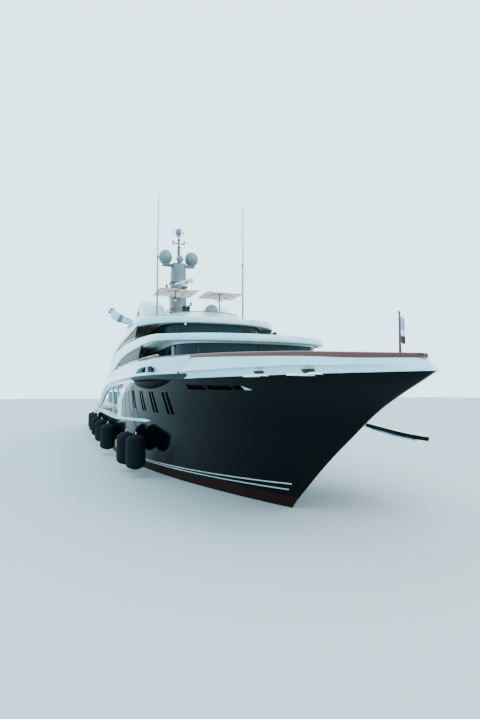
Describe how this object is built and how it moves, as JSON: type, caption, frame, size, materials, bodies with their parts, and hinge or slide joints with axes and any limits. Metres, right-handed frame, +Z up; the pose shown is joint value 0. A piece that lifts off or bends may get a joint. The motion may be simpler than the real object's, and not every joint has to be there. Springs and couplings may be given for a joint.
{
  "type": "motor yacht, 1:2 scale model",
  "caption": "Three-deck motor yacht, a half-size model: dark hull, white bands that sweep aft, glazed houses, mast with radomes, deck crane and hinged shell door.",
  "frame": {"origin": "amidships on the centreline, at the water's surface", "axes": "+X forward, towards the bow; +Y to port; +Z up"},
  "size_m": [39.2261, 7.5287, 12.63],
  "materials": {
    "navy_paint": "high gloss",
    "antifouling": "matt",
    "white_paint": "gloss",
    "teak": "oiled",
    "varnish": "high-gloss varnish",
    "tinted_glass": "polished",
    "mast_grey": "satin",
    "radome_shell": "satin",
    "fibreglass": "gloss",
    "canvas": "woven",
    "flag_cloth": "woven",
    "fender_cover": "matt",
    "bronze": "cast and polished"
  },
  "bodies": {
    "yacht": {"hull_bottom": "antifouling", "hull_topside": "navy_paint", "rub_rail": "white_paint", "stern_platform": "white_paint", "main_deck": "teak", "foredeck": "teak", "upper_deck": "white_paint", "bridge_deck": "white_paint", "sun_deck": "white_paint", "bulwark_band": "white_paint", "bridge_band": "white_paint", "sun_band": "white_paint", "cap_rail": "varnish", "main_house_wall": "white_paint", "main_house_glass": "tinted_glass", "upper_house_wall": "white_paint", "upper_house_glass": "tinted_glass", "bridge_house_wall": "white_paint", "bridge_house_glass": "tinted_glass", "lower_screen_stbd": "tinted_glass", "upper_screen_stbd": "tinted_glass", "casing_stbd": "white_paint", "radome_stbd": "radome_shell", "parasol_stbd": "canvas", "whip_stbd": "fibreglass", "lower_screen_port": "tinted_glass", "upper_screen_port": "tinted_glass", "casing_port": "white_paint", "radome_port": "radome_shell", "parasol_port": "canvas", "whip_port": "fibreglass", "mast_tower": "mast_grey", "mast_pole": "mast_grey", "small_dome": "radome_shell", "wind_rail": "tinted_glass", "jackstaff": "varnish", "flag": "flag_cloth", "fender_1": "fender_cover", "fender_2": "fender_cover", "fender_3": "fender_cover", "fender_4": "fender_cover", "fender_5": "fender_cover", "fender_6": "fender_cover", "fender_7": "fender_cover"},
    "propeller_stbd": {"propeller_stbd": "bronze"},
    "rudder_stbd": {"rudder_stbd": "antifouling"},
    "propeller_port": {"propeller_port": "bronze"},
    "rudder_port": {"rudder_port": "antifouling"},
    "radar_scanner": {"radar_scanner": "fibreglass"},
    "crane_post": {"crane_post": "white_paint"},
    "crane_boom": {"crane_boom": "white_paint"},
    "shell_door": {"shell_door": "navy_paint"},
    "transom_door": {"transom_door": "navy_paint"}
  },
  "joints": [
    {"name": "propeller_stbd_turn", "type": "hinge", "parent": "yacht", "child": "propeller_stbd", "pos_m": [-14.7503, -0.975, -1.225], "axis": [1, 0, 0], "continuous": true},
    {"name": "propeller_port_turn", "type": "hinge", "parent": "yacht", "child": "propeller_port", "pos_m": [-14.7503, 0.975, -1.225], "axis": [1, 0, 0], "continuous": true},
    {"name": "rudder_stbd_turn", "type": "hinge", "parent": "yacht", "child": "rudder_stbd", "pos_m": [-16.2, -0.975, -0.75], "axis": [0, 0, 1], "range_deg": [-35, 35]},
    {"name": "rudder_port_turn", "type": "hinge", "parent": "yacht", "child": "rudder_port", "pos_m": [-16.2, 0.975, -0.75], "axis": [0, 0, 1], "range_deg": [-35, 35]},
    {"name": "scanner_turn", "type": "hinge", "parent": "yacht", "child": "radar_scanner", "pos_m": [3.675, 0, 7.7], "axis": [0, 0, 1], "continuous": true},
    {"name": "crane_slew", "type": "hinge", "parent": "yacht", "child": "crane_post", "pos_m": [3.2, -2.41, 5.5], "axis": [0, 0, 1], "range_deg": [-75, 75]},
    {"name": "crane_luff", "type": "hinge", "parent": "crane_post", "child": "crane_boom", "pos_m": [3.2, -2.35, 5.975], "axis": [-1, 0, 0], "range_deg": [-25, 35]},
    {"name": "shell_door_hinge", "type": "hinge", "parent": "yacht", "child": "shell_door", "pos_m": [13.82626, 2.05908, 2.15], "axis": [0.9178, -0.3969, 0], "range_deg": [-112.6, 8]},
    {"name": "transom_door_hinge", "type": "hinge", "parent": "yacht", "child": "transom_door", "pos_m": [-17.48194, 0, 1.45], "axis": [0, 1, 0], "range_deg": [0, 80]}
  ]
}
